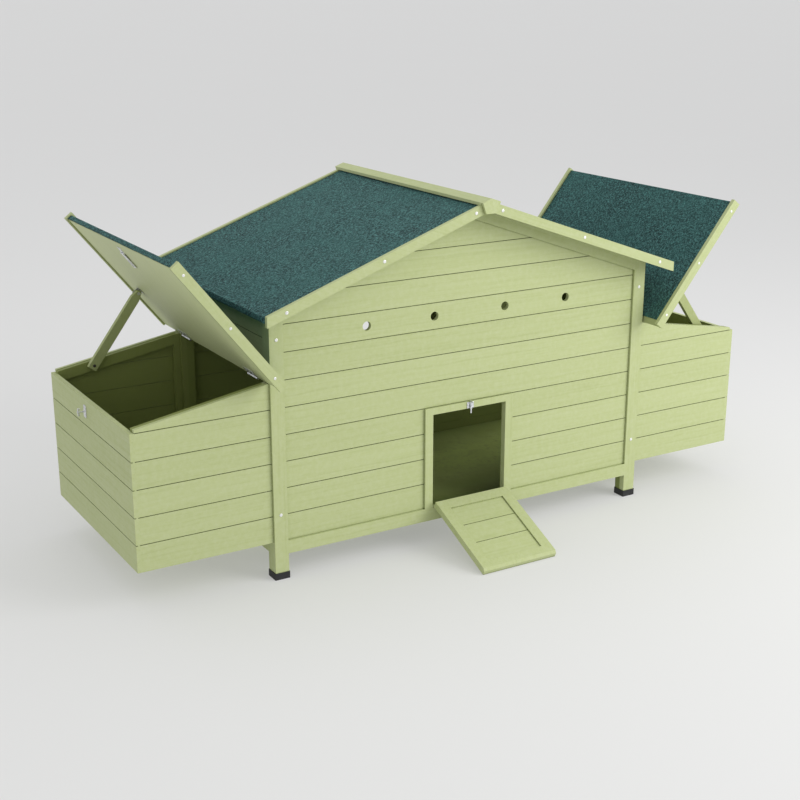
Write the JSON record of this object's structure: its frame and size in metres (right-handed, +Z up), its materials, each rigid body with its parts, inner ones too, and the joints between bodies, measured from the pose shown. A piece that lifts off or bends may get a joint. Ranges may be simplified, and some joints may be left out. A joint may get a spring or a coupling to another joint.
{
  "type": "chicken coop",
  "caption": "Gabled wooden hen house on short legs with a nest box at each side under a propped hinged lid, a pop hole and a drop-down door that serves as the ramp.",
  "frame": {"origin": "middle of the whole coop's footprint, ramp included, on the ground", "axes": "+X to the right seen from the pop hole side, along the line through both nest boxes, +Y from the pop hole wall to the back wall, +Z up"},
  "size_m": [2.0318, 0.9908, 0.9849],
  "materials": {
    "painted_wood": "pale yellow-green paint over sawn softwood, satin, fine grain showing",
    "bare_wood": "bare planed softwood",
    "roof_felt": "bitumen roofing felt with dark teal mineral granules",
    "black_rubber": "moulded black rubber",
    "zinc_steel": "bright zinc plate",
    "screw_head": "pale zinc, slightly domed"
  },
  "bodies": {
    "cabin": {"back_wall": "painted_wood", "bottom_rails": "painted_wood", "cabin_floor": "painted_wood", "cap_screws": "screw_head", "foot_caps": "black_rubber", "front_wall": "painted_wood", "gable_rafters": "painted_wood", "hasp_staple_left": "zinc_steel", "hasp_staple_right": "zinc_steel", "hinge_rail_left": "painted_wood", "hinge_rail_right": "painted_wood", "latch_plate": "zinc_steel", "nest_end_walls_left": "painted_wood", "nest_end_walls_right": "painted_wood", "nest_floor_left": "painted_wood", "nest_floor_right": "painted_wood", "nest_frame_left": "painted_wood", "nest_frame_right": "painted_wood", "nest_hinge_leaves_left": "zinc_steel", "nest_hinge_leaves_right": "zinc_steel", "nest_outer_wall_left": "painted_wood", "nest_outer_wall_right": "painted_wood", "perch_brackets": "bare_wood", "perches": "bare_wood", "pop_hole_frame": "painted_wood", "posts_back": "painted_wood", "posts_front": "painted_wood", "rake_boards": "painted_wood", "ridge_cap": "painted_wood", "roof_beams": "painted_wood", "roof_felt_left": "roof_felt", "roof_felt_right": "roof_felt", "roof_panel_left": "painted_wood", "roof_panel_right": "painted_wood", "side_wall_left": "painted_wood", "side_wall_right": "painted_wood", "sill_hinge_leaves": "zinc_steel"},
    "ramp": {"ramp_frame": "painted_wood", "ramp_boards": "painted_wood", "ramp_hinge_leaves": "zinc_steel"},
    "latch_bolt": {"latch_bolt": "zinc_steel"},
    "lid_left": {"lid_panel_left": "painted_wood", "lid_felt_left": "roof_felt", "lid_battens_left": "painted_wood", "lid_hinge_leaves_left": "zinc_steel", "hasp_leaf_left": "zinc_steel", "stay_bracket_left": "zinc_steel"},
    "stay_left": {"stay_left": "painted_wood"},
    "hasp_strap_left": {"hasp_strap_left": "zinc_steel"},
    "hasp_knuckle_left": {"hasp_knuckle_left": "zinc_steel"},
    "lid_right": {"lid_panel_right": "painted_wood", "lid_felt_right": "roof_felt", "lid_battens_right": "painted_wood", "lid_hinge_leaves_right": "zinc_steel", "hasp_leaf_right": "zinc_steel", "stay_bracket_right": "zinc_steel"},
    "stay_right": {"stay_right": "painted_wood"},
    "hasp_strap_right": {"hasp_strap_right": "zinc_steel"},
    "hasp_knuckle_right": {"hasp_knuckle_right": "zinc_steel"}
  },
  "joints": [
    {"name": "ramp_hinge", "type": "hinge", "parent": "cabin", "child": "ramp", "pos_m": [0, -0.23908, 0.108], "axis": [-1, 0, 0], "range_deg": [0, 113.89]},
    {"name": "latch_bolt_slide", "type": "slide", "parent": "cabin", "child": "latch_bolt", "axis": [0, 0, 1], "range_m": [0, 0.0145]},
    {"name": "lid_left_hinge", "type": "hinge", "parent": "cabin", "child": "lid_left", "pos_m": [-0.6185, 0.08592, 0.547], "axis": [0, 1, 0], "range_deg": [-61.1, 0]},
    {"name": "stay_left_pivot", "type": "hinge", "parent": "lid_left", "child": "stay_left", "pos_m": [-0.73924, 0.36241, 0.68222], "axis": [0, 1, 0], "range_deg": [0, 25]},
    {"name": "hasp_strap_left_hinge", "type": "hinge", "parent": "lid_left", "child": "hasp_strap_left", "pos_m": [-0.86522, 0.10941, 0.85285], "axis": [0, 1, 0], "range_deg": [0, 120]},
    {"name": "hasp_knuckle_left_turn", "type": "hinge", "parent": "cabin", "child": "hasp_knuckle_left", "pos_m": [-1.0095, 0.10941, 0.44281], "axis": [-1, 0, 0], "range_deg": [0, 90]},
    {"name": "lid_right_hinge", "type": "hinge", "parent": "cabin", "child": "lid_right", "pos_m": [0.6185, 0.08592, 0.547], "axis": [0, -1, 0], "range_deg": [-61.1, 0]},
    {"name": "stay_right_pivot", "type": "hinge", "parent": "lid_right", "child": "stay_right", "pos_m": [0.73924, -0.19059, 0.68222], "axis": [0, -1, 0], "range_deg": [0, 25]},
    {"name": "hasp_strap_right_hinge", "type": "hinge", "parent": "lid_right", "child": "hasp_strap_right", "pos_m": [0.86522, 0.06241, 0.85285], "axis": [0, -1, 0], "range_deg": [0, 120]},
    {"name": "hasp_knuckle_right_turn", "type": "hinge", "parent": "cabin", "child": "hasp_knuckle_right", "pos_m": [1.0095, 0.06241, 0.44281], "axis": [1, 0, 0], "range_deg": [0, 90]}
  ],
  "couplings": [
    {"joint": "stay_left_pivot", "follows": "lid_left_hinge", "ratio": -0.4},
    {"joint": "stay_right_pivot", "follows": "lid_right_hinge", "ratio": -0.4}
  ]
}
